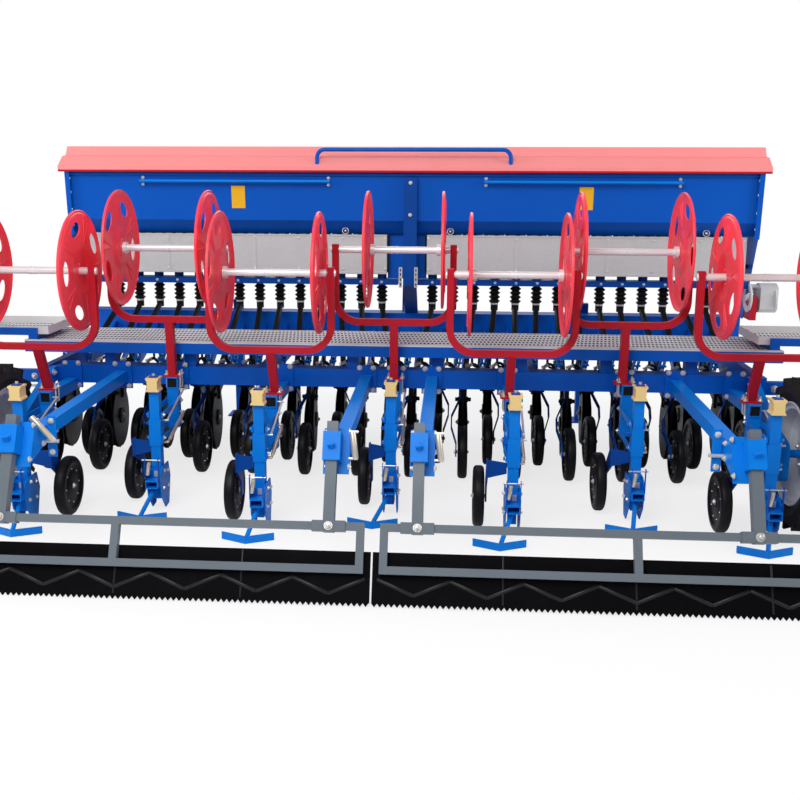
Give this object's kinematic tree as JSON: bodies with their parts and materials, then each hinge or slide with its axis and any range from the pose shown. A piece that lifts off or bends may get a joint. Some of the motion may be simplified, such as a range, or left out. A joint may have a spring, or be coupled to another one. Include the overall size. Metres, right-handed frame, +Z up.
{
  "type": "grain drill with drip-tape laying units and drag boards",
  "caption": "Mounted grain drill with a long hopper, double-disc rows, tape-laying units under open reels, toothed drag boards and rubber ground wheels.",
  "frame": {"origin": "on the ground, under the middle of the whole machine", "axes": "+X to the right seen from behind, +Y forward towards the tractor, +Z up"},
  "size_m": [4.752, 3.5372, 1.8653],
  "materials": {
    "blue_paint": "glossy blue enamel",
    "light_blue_paint": "glossy light blue enamel",
    "navy_paint": "glossy dark blue enamel",
    "red_paint": "satin red powder coat",
    "reel_paint": "glossy rose red enamel",
    "lid_paint": "pale red enamel",
    "zinc_sheet": "galvanised sheet with spangle",
    "bright_steel": "zinc-plated steel",
    "black_rubber": "black rubber",
    "black_steel": "black paint",
    "board_paint": "satin grey paint",
    "cream_plastic": "cream moulded plastic",
    "tyre_rubber": "black tyre rubber",
    "rim_paint": "light grey paint"
  },
  "bodies": {
    "chassis": {"main_beam": "blue_paint", "side_rails": "blue_paint", "front_beam": "blue_paint", "hitch_brackets": "blue_paint", "hitch_mast": "blue_paint", "parking_stands": "blue_paint", "hopper_shell": "blue_paint", "hopper_brace": "navy_paint", "metering_covers": "zinc_sheet", "seed_meters": "bright_steel", "outlet_rail": "navy_paint", "grab_rails": "light_blue_paint", "bellows": "black_rubber", "seed_tubes": "black_rubber", "platform_frame": "blue_paint", "platform_planks": "zinc_sheet", "side_steps": "zinc_sheet", "step_brackets": "blue_paint", "opener_arms": "blue_paint", "openers": "black_steel", "press_arms": "navy_paint", "pressure_bar": "light_blue_paint", "pressure_rods": "bright_steel", "reel_forks": "red_paint", "tape_arms": "light_blue_paint", "tape_links": "blue_paint", "tape_shanks": "blue_paint", "tape_guides": "cream_plastic", "tape_openers": "light_blue_paint", "tape_springs": "bright_steel", "sweeps": "light_blue_paint", "gauge_arms": "navy_paint", "board_arms": "light_blue_paint", "wheel_arms": "light_blue_paint", "gearbox": "zinc_sheet", "drive_guard": "red_paint"},
    "ground_wheel_left": {"tyre_left": "tyre_rubber", "rim_left": "rim_paint"},
    "ground_wheel_right": {"tyre_right": "tyre_rubber", "rim_right": "rim_paint"},
    "press_rank_rear": {"press_wheels_rear": "black_rubber"},
    "press_rank_front": {"press_wheels_front": "black_rubber"},
    "gauge_row_rear": {"gauge_wheels_rear": "black_rubber"},
    "gauge_row_front": {"gauge_wheels_front": "black_rubber"},
    "hopper_lid": {"lid": "lid_paint", "lid_handle": "blue_paint"},
    "drag_board_left": {"board_brackets_left": "light_blue_paint", "board_frame_left": "board_paint", "board_plates_left": "black_steel"},
    "drag_board_right": {"board_brackets_right": "light_blue_paint", "board_frame_right": "board_paint", "board_plates_right": "black_steel"},
    "tape_reel_1": {"reel_1": "reel_paint"},
    "tape_reel_2": {"reel_2": "reel_paint"},
    "tape_reel_3": {"reel_3": "reel_paint"},
    "tape_reel_4": {"reel_4": "reel_paint"},
    "tape_reel_5": {"reel_5": "reel_paint"},
    "tape_reel_6": {"reel_6": "reel_paint"},
    "tape_reel_7": {"reel_7": "reel_paint"}
  },
  "joints": [
    {"name": "ground_wheel_left_turn", "type": "hinge", "parent": "chassis", "child": "ground_wheel_left", "pos_m": [-2.025, -0.6564, 0.375], "axis": [1, 0, 0], "continuous": true},
    {"name": "ground_wheel_right_turn", "type": "hinge", "parent": "chassis", "child": "ground_wheel_right", "pos_m": [2.025, -0.6564, 0.375], "axis": [1, 0, 0], "continuous": true},
    {"name": "press_rank_rear_turn", "type": "hinge", "parent": "chassis", "child": "press_rank_rear", "pos_m": [0, 0.0586, 0.15], "axis": [1, 0, 0], "continuous": true},
    {"name": "press_rank_front_turn", "type": "hinge", "parent": "chassis", "child": "press_rank_front", "pos_m": [0, 0.3536, 0.15], "axis": [1, 0, 0], "continuous": true},
    {"name": "gauge_row_rear_turn", "type": "hinge", "parent": "chassis", "child": "gauge_row_rear", "pos_m": [0, -0.7414, 0.15], "axis": [1, 0, 0], "continuous": true},
    {"name": "gauge_row_front_turn", "type": "hinge", "parent": "chassis", "child": "gauge_row_front", "pos_m": [0, -0.4514, 0.15], "axis": [1, 0, 0], "continuous": true},
    {"name": "tape_reel_1_turn", "type": "hinge", "parent": "chassis", "child": "tape_reel_1", "pos_m": [-1.8, -0.5664, 1.217], "axis": [1, 0, 0], "continuous": true},
    {"name": "tape_reel_2_turn", "type": "hinge", "parent": "chassis", "child": "tape_reel_2", "pos_m": [-1.2, -0.2614, 1.311], "axis": [1, 0, 0], "continuous": true},
    {"name": "tape_reel_3_turn", "type": "hinge", "parent": "chassis", "child": "tape_reel_3", "pos_m": [-0.6, -0.5664, 1.217], "axis": [1, 0, 0], "continuous": true},
    {"name": "tape_reel_4_turn", "type": "hinge", "parent": "chassis", "child": "tape_reel_4", "pos_m": [0, -0.2614, 1.311], "axis": [1, 0, 0], "continuous": true},
    {"name": "tape_reel_5_turn", "type": "hinge", "parent": "chassis", "child": "tape_reel_5", "pos_m": [0.6, -0.5664, 1.217], "axis": [1, 0, 0], "continuous": true},
    {"name": "tape_reel_6_turn", "type": "hinge", "parent": "chassis", "child": "tape_reel_6", "pos_m": [1.2, -0.2614, 1.311], "axis": [1, 0, 0], "continuous": true},
    {"name": "tape_reel_7_turn", "type": "hinge", "parent": "chassis", "child": "tape_reel_7", "pos_m": [1.8, -0.5664, 1.217], "axis": [1, 0, 0], "continuous": true},
    {"name": "lid_open", "type": "hinge", "parent": "chassis", "child": "hopper_lid", "pos_m": [0, 1.6836, 1.7423], "axis": [-1, 0, 0], "range_deg": [0, 80]},
    {"name": "drag_board_left_lift", "type": "hinge", "parent": "chassis", "child": "drag_board_left", "pos_m": [-0.8325, -1.3064, 0.575], "axis": [-1, 0, 0], "range_deg": [0, 25]},
    {"name": "drag_board_right_lift", "type": "hinge", "parent": "chassis", "child": "drag_board_right", "pos_m": [0.8475, -1.3064, 0.575], "axis": [-1, 0, 0], "range_deg": [0, 25]}
  ]
}
